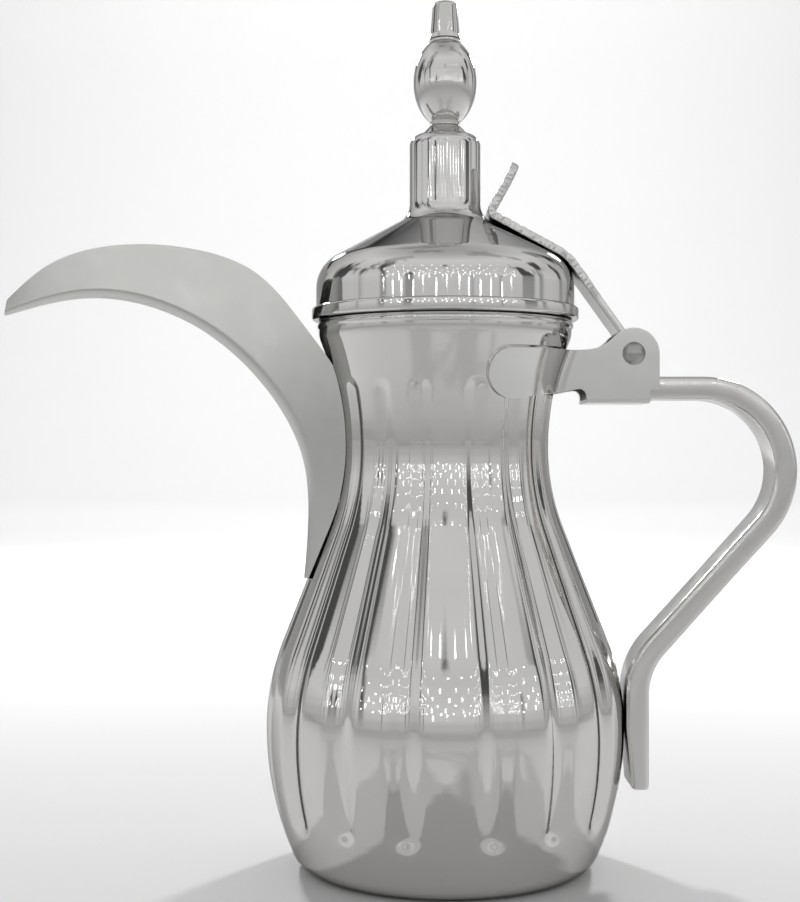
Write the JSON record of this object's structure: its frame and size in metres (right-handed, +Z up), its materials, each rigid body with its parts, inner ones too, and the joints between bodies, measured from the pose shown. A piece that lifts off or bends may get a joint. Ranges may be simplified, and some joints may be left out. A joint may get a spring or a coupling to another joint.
{
  "type": "dallah coffee pot",
  "caption": "Polished metal coffee pot with a fluted hourglass body, crescent spout, bent strap handle and hinged domed lid with a tall finial.",
  "frame": {"origin": "middle of the flat base, on the plane that the pot stands on", "axes": "+Z up, -X towards the spout, +X towards the handle, -Y the side seen from the front"},
  "size_m": [0.262, 0.1184, 0.2865],
  "materials": {
    "polished_body": "mirror polished",
    "polished_lid": "mirror polished",
    "polished_spout": "mirror polished",
    "polished_finial": "mirror polished",
    "handle_bar": "polished",
    "lever_strap": "polished, finely pebbled on top",
    "bracket_sheet": "satin",
    "rivet_metal": "polished",
    "base_metal": "satin",
    "inner_hardware": "plain turned"
  },
  "bodies": {
    "pot": {"body_shell": "polished_body", "base_disc": "base_metal", "spout_front_half": "polished_spout", "spout_back_half": "polished_spout", "hinge_bracket": "bracket_sheet", "hinge_rivet": "rivet_metal", "handle": "handle_bar"},
    "lid": {"lid_dome": "polished_lid", "lid_skirt": "base_metal", "lid_lever": "lever_strap", "lever_rivets": "rivet_metal", "finial_collar": "polished_finial", "finial_bead": "polished_finial", "finial_ring": "polished_finial", "finial_tip": "polished_finial", "finial_stud": "inner_hardware", "finial_nut": "inner_hardware", "finial_washer": "inner_hardware"}
  },
  "joints": [
    {"name": "lid_hinge", "type": "hinge", "parent": "pot", "child": "lid", "pos_m": [0.0614, 0, 0.169], "axis": [0, 1, 0], "range_deg": [0, 120]}
  ]
}
